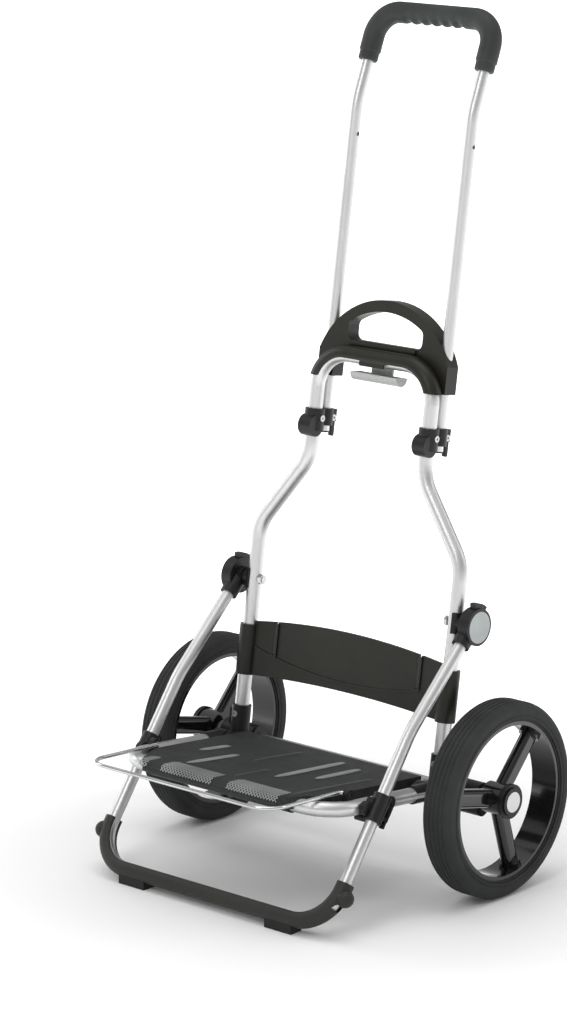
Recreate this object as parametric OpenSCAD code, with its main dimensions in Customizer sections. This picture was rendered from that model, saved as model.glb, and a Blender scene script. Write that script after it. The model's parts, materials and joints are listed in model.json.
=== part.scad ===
// Folding luggage cart: two wheels, a leaning tube frame with a pull-out handle,
// a load deck that folds up and a foot frame that folds back.
// X runs across the cart (+X is its right side), -Y is the deck side, +Z is up.

/* [Wheels] */
// Diameter of each wheel over the tyre
wheel_d = 250; // [205:1:300]
// Width of each tyre
tyre_w = 44; // [36:1:50]
// Distance between the middle planes of the two tyres
wheel_track = 474; // [472:1:500]
// Height of the tyre from its bore to its tread
tyre_h = 24; // [18:1:30]
// Radial thickness of the rim's barrel
rim_t = 5; // [4:0.5:7]
// Diameter of the wheel's hub
hub_d = 40; // [34:1:48]
// Depth of each spoke around the wheel
spoke_w = 24; // [18:1:26]
// Thickness of each spoke along the axle
spoke_t = 16; // [12:1:20]
// Number of spokes
spokes = 3; // [3:1:6]
// Diameter of the steel axle
axle_d = 10; // [8:1:12]

/* [Main frame] */
// Outer diameter of the main frame's tube
frame_d = 19; // [16:0.5:23]
// Wall of the frame tubes
tube_t = 1.5; // [1:0.1:2]
// Width between the centres of the lower uprights
frame_w = 334; // [326:1:340]
// Width between the centres of the upper uprights and of the handle tubes
upper_w = 188; // [160:1:226]
// Lean of the frame backwards from upright, in degrees
lean = 8.7; // [5:0.1:12]
// How far the axle lies behind the plane of the frame
axle_back = 31; // [28:1:40]
// Height of the leg hinge above the axle, along the frame
hinge_rise = 211; // [180:1:253]
// Height of the lower bend above the axle, along the frame
lower_bend_rise = 283; // [270:1:300]
// Height of the upper bend above the axle, along the frame
upper_bend_rise = 380; // [360:1:386]
// Height of the frame's top tube above the axle, along the frame
top_rise = 518; // [510:1:620]
// Radius of the frame's bends at each side
side_bend_r = 60; // [40:1:80]
// Radius of the frame's two top corners
top_corner_r = 46; // [30:1:60]

/* [Handle] */
// Outer diameter of the handle's tube
handle_d = 15; // [12:0.5:16]
// Distance from the frame's plane back to the handle's plane
handle_gap = 20.2; // [20:0.1:26]
// Height of the handle's backward bend above the axle, along the frame
handle_bend_rise = 824; // [790:1:950]
// Backward bend of the handle's top, in degrees
handle_bend = 13.4; // [5:0.1:20]
// Length of the straight stretch above the backward bend
handle_slant = 75.5; // [60:0.5:115]
// Radius of the handle's two top corners
handle_corner_r = 34; // [28:1:45]
// Travel of the handle between its two locked places
handle_travel = 275; // [220:1:280]
// Outer diameter of the soft grip
grip_d = 28; // [24:0.5:34]
// Length of the grip down each side, below the corner
grip_leg = 32; // [20:1:50]

/* [Carry handle] */
// Width of the carry handle over its two ends
carry_w = 210; // [206:1:250]
// Height of the carry handle's top above the frame's top tube
carry_rise = 75; // [60:1:90]
// Radius of the carry handle's arch
carry_arch_r = 113; // [105:1:140]
// Thickness of the carry handle, front to back
carry_t = 22; // [20:1:28]
// Width of the hand opening
hand_w = 122; // [90:1:130]
// Height of the hand opening
hand_h = 41; // [30:1:44]
// Wall of the moulded shells
shell_t = 2.5; // [2:0.1:3.5]

/* [Back panel] */
// Height of the panel at its middle
panel_h = 76; // [60:1:90]
// Thickness of the panel
panel_t = 5; // [4:0.5:7]
// Height of the panel's lower edge above the axle, along the frame
panel_rise = 92; // [85:1:110]
// Distance between the two strap slots
slot_span = 239; // [180:1:250]
// Width of each strap slot
slot_w = 4.6; // [4.4:0.1:7]
// Depth of each strap slot
slot_deep = 45; // [30:1:50]

/* [Leg frame] */
// Outer diameter of the leg frame's tube
leg_d = 16; // [14:0.5:17]
// Width between the centres of the legs
leg_w = 386; // [384:1:388]
// Slope of the legs' upper stretch from upright, in degrees
leg_upper_slope = 47.1; // [42:0.1:50]
// Slope of the legs' lower stretch from upright, in degrees
leg_lower_slope = 36.5; // [30:0.1:40]
// Length from the hinge to the legs' bend
leg_upper_len = 162; // [140:1:180]
// Radius of the foot bar's two corners
foot_corner_r = 52; // [40:1:60]
// Height of the foot bar's centre above the floor
foot_bar_z = 18; // [17:0.5:22]
// Outer diameter of the shoe round the foot bar
shoe_d = 23; // [21:0.5:26]
// Diameter of the round knobs on the shoe's ends
knob_d = 22; // [18:0.5:24]

/* [Platform] */
// Outer diameter of the platform's tube
platform_d = 19; // [16:0.5:19]
// Width between the centres of the platform's side tubes
platform_w = 346; // [344:1:347]
// Length from the platform's pivot to its front tube
platform_len = 189; // [170:1:226]
// Upward slope of the platform towards its front, in degrees
platform_slope = 5.4; // [3:0.1:8]
// How far the platform's pivot lies in front of the frame's plane
pivot_front = 27.2; // [26.5:0.1:30]
// Radius of the platform tube's front corners
platform_corner_r = 45; // [35:1:60]
// Width of the deck
deck_w = 294; // [240:1:294]
// Width of the deck's front edge
deck_front_w = 222; // [190:1:240]
// Height of the deck's top above the centre of its tube
deck_rise = 12; // [12:0.5:16]
// Depth of the deck from its top to its lower edge
deck_h = 15.5; // [14:0.5:20]
// How far the deck reaches in front of the front tube
deck_nose = 27; // [22:1:32]
// How far the deck reaches behind the pivot
deck_tail = 18; // [10:1:20]
// Diameter of the wire bail
wire_d = 5; // [4:0.5:6]
// Width between the centres of the bail's arms
wire_w = 302; // [301:1:302]
// Reach of the bail in front of its pivot
wire_reach = 134; // [100:1:140]
// Corner radius of the bail
wire_corner_r = 30; // [15:1:45]

/* [Hardware] */
// Diameter of the leg hinge's bolt
hinge_bolt_d = 8; // [6:0.5:8]
// Diameter of the platform's pivot pins
pivot_pin_d = 8; // [6:0.5:9]
// Diameter of the silver cap on each leg hinge
cap_d = 40; // [34:1:42]
// Travel of each hinge's release tab
tab_travel = 3; // [2:0.5:3]
// Travel of the handle's release bar
bar_travel = 4; // [3:0.5:5]
// Diameter of the lock pins
lock_pin_d = 5; // [4:0.5:6]
// Travel of each wheel's release button
button_travel = 2; // [1:0.5:2.5]
// Diameter of the clamp screws
screw_d = 4; // [3:0.5:4.5]

/* [Fits] */
// Radial clearance of shafts that turn or slide in holes
run_gap = 0.05; // [0.02:0.01:0.1]
// Gap between moving pieces that pass each other
pass_gap = 0.3; // [0.25:0.05:0.5]

/* [Hidden] */
$fn = 64;

// Radii used everywhere
wheel_r = wheel_d / 2;
frame_r = frame_d / 2;
handle_r = handle_d / 2;
leg_r = leg_d / 2;
platform_r = platform_d / 2;
wire_r = wire_d / 2;
grip_r = grip_d / 2;
shoe_r = shoe_d / 2;
screw_r = screw_d / 2;
frame_x = frame_w / 2;
upper_x = upper_w / 2;
leg_x = leg_w / 2;
platform_x = platform_w / 2;
wire_x = wire_w / 2;
wheel_x = wheel_track / 2;

// The frame's plane: "u" runs up along it and "w" runs back from it
foot_y = -(axle_back + wheel_r * sin(lean)) / cos(lean);
axle_u = wheel_r * cos(lean) - foot_y * sin(lean);
base_u = axle_u - 22;
hinge_u = axle_u + hinge_rise;
lower_bend_u = axle_u + lower_bend_rise;
upper_bend_u = axle_u + upper_bend_rise;
top_u = axle_u + top_rise;
handle_bend_u = axle_u + handle_bend_rise;
panel_u = axle_u + panel_rise;

// World [y, z] of a point of the frame's plane
function on_plane(u, w = 0) =
    [foot_y + w * cos(lean) + u * sin(lean), u * cos(lean) - w * sin(lean)];

hinge_yz = on_plane(hinge_u);
pivot_yz = on_plane(axle_u, -pivot_front);

// Side bends of the main frame
side_run = (frame_w - upper_w) / 2;
side_rise = upper_bend_u - lower_bend_u;
side_angle = atan(side_run / side_rise);
side_tangent = side_bend_r * tan(side_angle / 2);
side_straight = norm([side_run, side_rise]) - 2 * side_tangent;
lower_straight = lower_bend_u - base_u - side_tangent;
upper_straight = top_u - top_corner_r - upper_bend_u - side_tangent;
top_straight = upper_w - 2 * top_corner_r;

// Handle
lock_u = top_u + 3;
handle_base_u = top_u - 103;
handle_bend_r = 100;
handle_straight = handle_bend_u - handle_base_u;
handle_top_straight = upper_w - 2 * handle_corner_r;
handle_reach = handle_slant + handle_corner_r;
handle_top_w = handle_gap + handle_bend_r * (1 - cos(handle_bend))
    + handle_reach * sin(handle_bend);
handle_top_u = handle_bend_u + handle_bend_r * sin(handle_bend)
    + handle_reach * cos(handle_bend);
handle_top_yz = on_plane(handle_top_u, handle_top_w);

// Legs
leg_bend_y = hinge_yz[0] - leg_upper_len * sin(leg_upper_slope);
leg_bend_z = hinge_yz[1] - leg_upper_len * cos(leg_upper_slope);
leg_lower_len = (leg_bend_z - foot_bar_z) / cos(leg_lower_slope);
foot_y_pos = leg_bend_y - leg_lower_len * sin(leg_lower_slope);
leg_bend_angle = leg_upper_slope - leg_lower_slope;
leg_bend_r = 120;
leg_tangent = leg_bend_r * tan(leg_bend_angle / 2);
leg_start = 12;
socket_end = 31;

// Where the leg's line crosses the platform tube's line, seen from the side
platform_y_dir = -cos(platform_slope);
platform_z_dir = sin(platform_slope);
cross_det = platform_y_dir * cos(leg_lower_slope) - platform_z_dir * sin(leg_lower_slope);
clip_s = ((foot_y_pos - pivot_yz[0]) * cos(leg_lower_slope)
    - (foot_bar_z - pivot_yz[1]) * sin(leg_lower_slope)) / cross_det;
clip_y = pivot_yz[0] + clip_s * platform_y_dir;
clip_z = pivot_yz[1] + clip_s * platform_z_dir;
clip_t = (clip_z - foot_bar_z) / cos(leg_lower_slope);

// Wire bail
wire_s = 142;
wire_h = platform_r + wire_r + 3;
wire_rise_angle = -1.9;
wire_yz = [pivot_yz[0] - wire_s * cos(platform_slope) + wire_h * sin(platform_slope),
    pivot_yz[1] + wire_s * sin(platform_slope) + wire_h * cos(platform_slope)];
wire_end_bend_r = 8;
wire_grip = 6;
lug_half = 5.5;
lug_w = 8;

// The origin lies on the floor under the middle of the cart's length
rear_y = max(handle_top_yz[0] + grip_r, wheel_r);
front_y = wire_yz[0] - wire_reach * cos(platform_slope + wire_rise_angle) - wire_r;
mid_y = (rear_y + front_y) / 2;

// Colours
black = [0.09, 0.09, 0.09];
olive = [0.13, 0.13, 0.1];
dark_grey = [0.25, 0.26, 0.27];
silver = [0.8, 0.81, 0.8];
steel = [0.68, 0.69, 0.7];
light_grey = [0.7, 0.72, 0.72];

// ---------------------------------------------------------------- helpers

// Moves everything so that the origin is under the middle of the cart
module in_place() translate([0, -mid_y, 0]) children();

// Right side as drawn, or its mirror image on the left
module on_side(side) mirror([side < 0 ? 1 : 0, 0, 0]) children();

module both_sides() {
    children();
    mirror([1, 0, 0]) children();
}

// Frame of the leaning plane: x across, y back from the plane, z up along it
module at_frame(u, w = 0, x = 0)
    translate([0, foot_y, 0]) rotate([-lean, 0, 0]) translate([x, w, u]) children();

// Frame of the platform: x across, -y forward along it, z square to it
module at_platform(s = 0, h = 0, x = 0)
    translate([0, pivot_yz[0], pivot_yz[1]]) rotate([-platform_slope, 0, 0])
        translate([x, -s, h]) children();

// Frame of the legs' lower stretch: z runs up the leg from the foot bar
module at_leg(t, x = 0)
    translate([0, foot_y_pos, foot_bar_z]) rotate([-leg_lower_slope, 0, 0])
        translate([x, 0, t]) children();

module at_hinge(x = 0) translate([x, hinge_yz[0], hinge_yz[1]]) children();

module at_axle(x = 0) translate([x, 0, wheel_r]) children();

// Cylinder along X from x0 to x1
module rod_x(r, x0, x1) translate([x0, 0, 0]) rotate([0, 90, 0]) cylinder(r = r, h = x1 - x0);

// Cylinder along Y from y0 to y1
module rod_y(r, y0, y1) translate([0, y0, 0]) rotate([-90, 0, 0]) cylinder(r = r, h = y1 - y0);

// Plate in the XZ plane from y0 to y1
module plate(y0, y1) translate([0, y1, 0]) rotate([90, 0, 0]) linear_extrude(y1 - y0) children();

// Plate in the YZ plane from x0 to x1; the outline's x runs along Y and its y along Z
module side_plate(x0, x1)
    translate([x0, 0, 0]) rotate([90, 0, 90]) linear_extrude(x1 - x0) children();

module box(low, high) translate(low) cube(high - low);

// Rod that follows steps, each [length, 0, 0] for a straight stretch
// or [radius, angle, roll] for a bend; it starts along +Z. Straights and bends
// stop a hair apart, and a collar as thin as paint joins them.
joint_gap = 0.01;
joint_lip = 0.05;
joint_len = 1;
module pipe(steps, r, i = 0) {
    if (i < len(steps)) {
        size = steps[i][0];
        angle = steps[i][1];
        roll = steps[i][2];
        if (i > 0) translate([0, 0, -joint_len / 2]) cylinder(r = r + joint_lip, h = joint_len);
        if (angle == 0) {
            translate([0, 0, joint_gap]) cylinder(r = r, h = size - 2 * joint_gap);
            translate([0, 0, size]) pipe(steps, r, i + 1);
        } else {
            rotate([0, 0, roll]) {
                translate([size, 0, 0]) rotate([-90, 0, 0]) rotate([0, 0, 180])
                    rotate_extrude(angle = angle) translate([size, 0]) circle(r = r);
                translate([size * (1 - cos(angle)), 0, size * sin(angle)])
                    rotate([0, angle, 0]) rotate([0, 0, -roll]) pipe(steps, r, i + 1);
            }
        }
    }
}

// The same steps with both ends longer by e, so that a bore runs out cleanly
function longer(steps, e) = [
    for (i = [0 : len(steps) - 1])
        (i == 0 || i == len(steps) - 1) ? [steps[i][0] + e, 0, 0] : steps[i]
];

// Tube along steps with its bore open at both ends
module tube(steps, r, wall) {
    difference() {
        pipe(steps, r);
        translate([0, 0, -1]) pipe(longer(steps, 1), r - wall);
    }
}

// Countersunk-free pan head screw along -Z with its head on top at z = 0
module pan_screw(r, length) {
    head_r = r * 2.1;
    head_h = r * 1.1;
    translate([0, 0, -length]) cylinder(r = r, h = length);
    difference() {
        cylinder(r = head_r, h = head_h);
        translate([0, 0, head_h * 0.45]) cylinder(r = r * 0.9, h = head_h, $fn = 6);
    }
}

// ---------------------------------------------------------------- main frame

frame_steps = [
    [lower_straight, 0, 0], [side_bend_r, side_angle, 180], [side_straight, 0, 0],
    [side_bend_r, side_angle, 0], [upper_straight, 0, 0], [top_corner_r, 90, 180],
    [top_straight, 0, 0],
    [top_corner_r, 90, 180], [upper_straight, 0, 0], [side_bend_r, side_angle, 0],
    [side_straight, 0, 0], [side_bend_r, side_angle, 180], [lower_straight, 0, 0]
];

clip_u = top_u - 88;
clip_screw_w = [0, handle_gap + handle_r + screw_r + 1.6];
bracket_screw_u = axle_u + 32;

module main_frame() color(silver) in_place() difference() {
    at_frame(base_u, 0, frame_x) tube(frame_steps, frame_r, tube_t);
    at_hinge() rod_x(hinge_bolt_d / 2 + run_gap, -frame_x - frame_d, frame_x + frame_d);
    at_frame(clip_u + 2) rod_x(screw_r + run_gap, -upper_x - frame_d, upper_x + frame_d);
    both_sides() at_frame(bracket_screw_u, 0, frame_x)
        rod_y(screw_r + run_gap, -frame_d, frame_d);
}

// ---------------------------------------------------------------- carry handle

arch_steps = [
    [22, 0, 0], [top_corner_r, 90, 180], [top_straight, 0, 0],
    [top_corner_r, 90, 180], [22, 0, 0]
];
cover_r = frame_r + 3.2;
carry_front_w = handle_gap - carry_t / 2;
carry_rear_w = handle_gap + carry_t / 2;
carry_seam_w = handle_gap;
carry_low_u = top_u - 31;
carry_body_u = top_u - 6;
carry_top_u = top_u + carry_rise;
carry_screw_x = 44;
carry_screw_u = top_u + 8;
carry_head_w = carry_front_w + 4;
boss_r = handle_r + 3.2;
hand_low_u = top_u + 19;
hand_top_u = hand_low_u + hand_h;
hand_arch_r = 112;
bar_w = 5;
bar_u = top_u - 19;
bar_r = 11;
bar_len = 76;
bar_t = 2.2;
web_w = 34;
web_low_w = frame_r + 1.4;
web_t = 3;

// Rod along the arch of the frame's top, in frame coordinates
module arch_rod(r) translate([upper_x, 0, top_u - top_corner_r - 22]) pipe(arch_steps, r);

// Outline of the hand opening, in x and u: an arch with rounded corners
hand_corner_r = 9;
module hand_outline(grow = 0) {
    arch_r = hand_arch_r + grow;
    r = hand_corner_r + grow;
    corner_x = hand_w / 2 - hand_corner_r;
    arch_u = hand_top_u - hand_arch_r;
    high_u = arch_u + sqrt(pow(hand_arch_r - hand_corner_r, 2) - pow(corner_x, 2));
    low_u = hand_low_u + hand_corner_r;
    touch_x = corner_x * arch_r / (arch_r - r);
    intersection() {
        translate([0, arch_u]) circle(r = arch_r, $fn = 120);
        translate([-touch_x, low_u]) square([2 * touch_x, hand_h + grow]);
    }
    translate([-corner_x, low_u - r]) square([2 * corner_x, 2 * r]);
    for (side = [-1, 1]) {
        translate([side * corner_x, low_u]) circle(r = r);
        translate([side * corner_x, high_u]) circle(r = r);
        translate([side > 0 ? 0 : -corner_x - r, low_u]) square([corner_x + r, high_u - low_u]);
    }
}

// Outer outline of the carry handle; "inset" shrinks it evenly
module carry_outline(inset = 0) {
    intersection() {
        translate([0, carry_top_u - carry_arch_r]) circle(r = carry_arch_r - inset, $fn = 120);
        translate([-carry_w / 2 + inset, carry_low_u + inset])
            square([carry_w - 2 * inset, carry_rise + 60]);
    }
}

// Space under the carry handle between its two ends
module carry_gap(inset = 0) {
    half = upper_x - boss_r - 3 - inset;
    translate([-half, carry_low_u - 1]) square([2 * half, carry_body_u - carry_low_u + 1 + inset]);
}

// Solid that both shells are cut from, in frame coordinates
module carry_block(w0, w1) {
    difference() {
        plate(w0, w1) difference() {
            carry_outline();
            carry_gap();
            hand_outline();
        }
        arch_rod(cover_r + 0.1);
    }
}

// Hollow inside one shell; it leaves the outer wall, the rim and the tube bosses
module carry_hollow(w0, w1) {
    difference() {
        plate(w0, w1) difference() {
            carry_outline(shell_t);
            carry_gap(-shell_t);
            hand_outline(shell_t);
        }
        both_sides() translate([upper_x, handle_gap, 0]) cylinder(r = boss_r, h = carry_top_u);
        arch_rod(cover_r + shell_t);
        both_sides() translate([carry_screw_x, 0, carry_screw_u]) rod_y(4.5, 0, 60);
    }
}

// Everything that passes through the shells: handle tubes, pins, web and screws
module carry_cuts() {
    both_sides() translate([upper_x, handle_gap, carry_low_u - 5])
        cylinder(r = handle_r + run_gap, h = carry_rise + 80);
    both_sides() translate([0, handle_gap, lock_u])
        rod_x(lock_pin_d / 2 + run_gap, 40, upper_x);
    web_slot();
    both_sides() translate([carry_screw_x, 0, carry_screw_u]) rod_y(screw_r + run_gap, -1, 60);
}

// Slot that the release bar's web rises through
module web_slot() box([-web_w / 2 - 1, web_low_w - 1, carry_low_u],
    [web_w / 2 + 1, web_low_w + web_t + 1, lock_u + 12]);

// Rounded cross ridge under the hand opening
ridge_w = carry_front_w + 3;
module carry_ridge() translate([0, ridge_w, hand_low_u - 4.5]) rod_x(6, -hand_w / 2 + 8, hand_w / 2 - 8);

// Half-round bead across the front shell, under the hand opening
module carry_bead() color(olive) in_place() at_frame(0) difference() {
    carry_ridge();
    box([-carry_w, carry_front_w, hand_low_u - 20], [carry_w, carry_rear_w, hand_low_u + 20]);
    both_sides() translate([carry_screw_x, 0, carry_screw_u]) rod_y(4.2, -20, carry_head_w);
}

module carry_handle_front() color(olive) in_place() at_frame(0) difference() {
    carry_block(carry_front_w, carry_seam_w);
    carry_hollow(carry_front_w + shell_t, carry_seam_w + 1);
    carry_cuts();
    // Recess for the screw
    both_sides() translate([carry_screw_x, 0, carry_screw_u]) rod_y(4.2, -20, carry_head_w);
}

module carry_handle_rear() color(olive) in_place() at_frame(0) difference() {
    carry_block(carry_seam_w, carry_rear_w);
    carry_hollow(carry_seam_w - 1, carry_rear_w - shell_t);
    carry_cuts();
}

module saddle_cover() color(olive) in_place() at_frame(0) difference() {
    union() {
        arch_rod(cover_r);
        // Lower tab at the middle of the front
        box([-20, 0.8 - cover_r, top_u - 10], [20, -frame_r + 2, top_u - 2]);
    }
    arch_rod(frame_r + 0.05);
    // The inside of the arch stays open, apart from the tab
    inner = top_corner_r - 3.5;
    difference() {
        plate(-cover_r - 1, cover_r + 1) {
            translate([-upper_x + 3.5, 0]) square([upper_w - 7, top_u - top_corner_r]);
            translate([-top_straight / 2, 0]) square([top_straight, top_u - 3.5]);
            for (side = [-1, 1])
                translate([side * top_straight / 2, top_u - top_corner_r]) circle(r = inner);
        }
        box([-20, -cover_r - 2, top_u - 11], [20, -frame_r, top_u]);
    }
    // Open at the bottom behind the tube, where the release bar rises
    box([-60, -frame_r + 1, 0], [60, cover_r + 2, top_u - 3.5]);
    web_slot();
    // Room for the heads of the carry handle's screws
    both_sides() translate([carry_screw_x, 0, carry_screw_u])
        rod_y(screw_r * 2.1 + 0.2, carry_front_w, carry_rear_w);
    // The cover ends short of the upright tubes' straight stretch
    box([-carry_w, -30, 0], [carry_w, 30, carry_low_u]);
}

module carry_handle_screws() color(black) in_place() both_sides()
    at_frame(carry_screw_u, carry_head_w, carry_screw_x) rotate([90, 0, 0]) pan_screw(screw_r, 15);

pin_tip_x = upper_x - handle_r - pass_gap;
pin_back_x = 48;

module lock_pin(side) color(steel) in_place() on_side(side)
    at_frame(lock_u, handle_gap) rod_x(lock_pin_d / 2, pin_back_x, pin_tip_x);

module lock_pin_left() lock_pin(-1);
module lock_pin_right() lock_pin(1);

// Half-round trigger under the top tube, with a web that rises into the handle
module release_bar() color(light_grey) in_place() at_frame(0) {
    translate([0, bar_w, bar_u]) difference() {
        rod_x(bar_r, -bar_len / 2, bar_len / 2);
        rod_x(bar_r - bar_t, -bar_len / 2 + 3, bar_len / 2 - 3);
        box([-bar_len, -bar_r - 1, 0], [bar_len, bar_r + 1, bar_r + 1]);
    }
    box([-web_w / 2, web_low_w, bar_u - 4], [web_w / 2, web_low_w + web_t, lock_u + 3]);
}

// ---------------------------------------------------------------- hook clips

clip_h = 28;
clip_ring_r = frame_r + 3.5;
clip_guide_r = handle_r + 3.2;
hook_t = 5;
hook_w = 5.5;
hook_gap = 5.8;
clip_rear_w = handle_gap + handle_r + hook_gap + hook_t;

// Whole clip round the frame tube and the handle tube, at x = 0 of its own frame
module hook_clip_body() {
    difference() {
        union() {
            translate([0, 0, -clip_h / 2]) cylinder(r = clip_ring_r, h = clip_h);
            translate([0, handle_gap, -clip_h / 2 + 6]) cylinder(r = clip_guide_r, h = clip_h - 6);
            box([-6, 0, -clip_h / 2 + 6], [6, handle_gap, clip_h / 2]);
            // Flange behind the handle tube that carries the second screw
            box([-4.5, handle_gap, -3], [4.5, clip_rear_w, clip_h / 2 - 1]);
            // Rounded front lobe
            translate([0, -6, -8]) rod_x(14, -10, 10);
            // Hook that points down behind the handle tube
            side_plate(-hook_w / 2, hook_w / 2) {
                translate([clip_rear_w - hook_t, -20]) square([hook_t, 32]);
                translate([clip_rear_w - hook_t / 2, -20]) circle(r = hook_t / 2);
            }
        }
        translate([0, 0, -60]) cylinder(r = frame_r, h = 120);
        translate([0, handle_gap, -60]) cylinder(r = handle_r + run_gap, h = 120);
        for (w = clip_screw_w) translate([0, w, 2]) rod_x(screw_r + run_gap, -30, 30);
        translate([0, clip_screw_w[0], 2]) rod_x(screw_r * 2.1 + 0.2, clip_ring_r - 1, 30);
        translate([0, clip_screw_w[1], 2]) rod_x(screw_r * 2.1 + 0.2, 4.5, 30);
        // The foot of the flange stays clear of the tubes' line below the guide
        box([-20, -40, -60], [20, 60, -24]);
    }
}

// One half of a clip, split along the middle of its tubes; half is 1 for the +X half
module hook_clip_half(side, half) color(black) in_place()
    at_frame(clip_u, 0, side * upper_x) intersection() {
        hook_clip_body();
        box([half > 0 ? 0 : -40, -50, -60], [half > 0 ? 40 : 0, 80, 60]);
    }

module hook_clip_left_inner() hook_clip_half(-1, 1);
module hook_clip_left_outer() hook_clip_half(-1, -1);
module hook_clip_right_inner() hook_clip_half(1, -1);
module hook_clip_right_outer() hook_clip_half(1, 1);

module hook_clip_screws() color(steel) in_place()
    for (side = [-1, 1]) at_frame(clip_u + 2, 0, side * upper_x) {
        translate([clip_ring_r - 1, clip_screw_w[0], 0]) rotate([0, 90, 0])
            pan_screw(screw_r, 2 * clip_ring_r - 6);
        translate([4.5, clip_screw_w[1], 0]) rotate([0, 90, 0]) pan_screw(screw_r, 8);
    }

// ---------------------------------------------------------------- back panel

panel_sleeve_r = frame_r + 3.5;
panel_end_h = 66;
panel_crown = 1050;
panel_top_u = panel_u + panel_h;
slot_x = slot_span / 2;
panel_screw_u = panel_u + 30;
panel_seat = 1.2;

module panel_outline() {
    intersection() {
        translate([0, panel_top_u - panel_crown]) circle(r = panel_crown, $fn = 360);
        translate([-frame_x, panel_u - 7]) square([frame_w, panel_h + 8]);
    }
}

module back_panel() color(olive) in_place() at_frame(0) difference() {
    union() {
        plate(-panel_t / 2, panel_t / 2) difference() {
            panel_outline();
            // Shallow arch along the lower edge
            translate([0, panel_u - 1800]) circle(r = 1800, $fn = 360);
        }
        // Raised lips along the slots
        for (side = [-1, 1])
            box([side * slot_x - slot_w / 2 - 2.5, -panel_t / 2 - 2, panel_top_u - slot_deep - 9],
                [side * slot_x + slot_w / 2 + 2.5, panel_t / 2, panel_top_u - 9]);
        // Curved rib across the front
        intersection() {
            plate(-panel_t / 2 - 1.5, 0) difference() {
                translate([0, panel_u + 11 + 600]) circle(r = 601.5, $fn = 360);
                translate([0, panel_u + 11 + 600]) circle(r = 598.5, $fn = 360);
            }
            box([-frame_x + 14, -20, panel_u], [frame_x - 14, 20, panel_top_u - 20]);
        }
        for (side = [-1, 1])
            translate([side * frame_x, 0, panel_u - 7]) cylinder(r = panel_sleeve_r, h = panel_end_h);
    }
    for (side = [-1, 1]) {
        translate([side * frame_x, 0, panel_u - 20]) cylinder(r = frame_r + 0.05, h = 120);
        box([side * slot_x - slot_w / 2, -20, panel_top_u - slot_deep - 5],
            [side * slot_x + slot_w / 2, 20, panel_top_u + 5]);
        translate([side * frame_x, 0, panel_screw_u]) rod_y(screw_r + run_gap, 0, 40);
        translate([side * frame_x, panel_sleeve_r - panel_seat, panel_screw_u])
            rod_y(screw_r * 2.1 + 0.1, 0, 40);
    }
}

module panel_screws() color(steel) in_place() both_sides()
    at_frame(panel_screw_u, panel_sleeve_r - panel_seat, frame_x) rotate([-90, 0, 0])
        pan_screw(screw_r, panel_sleeve_r - panel_seat - frame_r - 0.2);

// ---------------------------------------------------------------- axle and brackets

socket_r = frame_r + 3;
socket_top = 44;
barrel_r = 15;
barrel_x0 = frame_x + 5;
barrel_x1 = wheel_x - 22;
ear_x0 = frame_x - socket_r + 1;
ear_x1 = ear_x0 + 7;
ear_r = 11;
button_r = 8;
button_z = -17;

module axle_bracket(side) color(black) in_place() on_side(side) difference() {
    union() {
        at_frame(base_u - 4, 0, frame_x) cylinder(r = socket_r, h = axle_u - base_u + 4 + socket_top);
        // Arm from the socket back to the axle's barrel
        at_frame(axle_u) box([frame_x - 8, 0, -13], [frame_x + 9, axle_back, 13]);
        at_axle() rod_x(barrel_r, frame_x - 10, barrel_x1);
        // Housing of the wheel's release button
        at_axle() translate([0, 0, button_z]) rod_x(button_r + 3.5, barrel_x0 + 2, barrel_x1);
        // Strengthening ribs on the outer face of the socket
        for (w = [-6, 0, 6])
            at_frame(axle_u) box([frame_x + socket_r - 4, w - 1, 16], [frame_x + socket_r + 1.2, w + 1, 38]);
        // Ear of the platform's pivot
        at_frame(axle_u) {
            translate([0, -pivot_front, 0]) rod_x(ear_r, ear_x0, ear_x1);
            box([ear_x0, -pivot_front, 1 - ear_r], [ear_x1, 0, ear_r - 1]);
        }
    }
    at_frame(base_u, 0, frame_x) cylinder(r = frame_r, h = 200);
    at_axle() rod_x(axle_d / 2, 0, wheel_x);
    at_axle() translate([0, 0, button_z]) rod_x(button_r + run_gap, barrel_x0 + 12, barrel_x1 + 5);
    at_frame(axle_u, -pivot_front) rod_x(pivot_pin_d / 2, 0, wheel_x);
    at_frame(bracket_screw_u, 0, frame_x) rod_y(screw_r + run_gap, -40, 0);
    at_frame(bracket_screw_u, 0, frame_x) rod_y(screw_r * 2.1 + 0.2, -40, -socket_r + 1.4);
}

module axle_bracket_left() axle_bracket(-1);
module axle_bracket_right() axle_bracket(1);

module bracket_screws() color(steel) in_place() both_sides()
    at_frame(bracket_screw_u, -socket_r + 1, frame_x) rotate([90, 0, 0])
        pan_screw(screw_r, socket_r - frame_r + 3);

axle_end_x = wheel_x + 14;
module axle() color(steel) in_place() at_axle() rod_x(axle_d / 2, -axle_end_x, axle_end_x);

module wheel_button(side) color(dark_grey) in_place() on_side(side) at_axle()
    translate([0, 0, button_z])
        rod_x(button_r, barrel_x0 + 12 + button_travel + 1, barrel_x1 + button_travel + 1);

module wheel_button_left() wheel_button(-1);
module wheel_button_right() wheel_button(1);

pin_head_x = leg_x - leg_r - 0.6;
module pivot_pins() color(steel) in_place() both_sides() at_frame(axle_u, -pivot_front) {
    rod_x(pivot_pin_d / 2, ear_x0, pin_head_x - 2);
    rod_x(pivot_pin_d * 0.8, pin_head_x - 2.2, pin_head_x);
}

// ---------------------------------------------------------------- leg hinges

boss_x1 = leg_x - leg_r - 3.5 - pass_gap;
hinge_boss_r = 10;
bolt_r = hinge_bolt_d / 2;
house_x0 = boss_x1 + pass_gap;
ring_x0 = leg_x - 4;
ring_x1 = leg_x + 12;
ring_r = cap_d / 2 + 3.5;
tab_angle = 70;
tab_half = 24;
tab_in = ring_r - 5;
tab_out = ring_r + 6;
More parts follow.
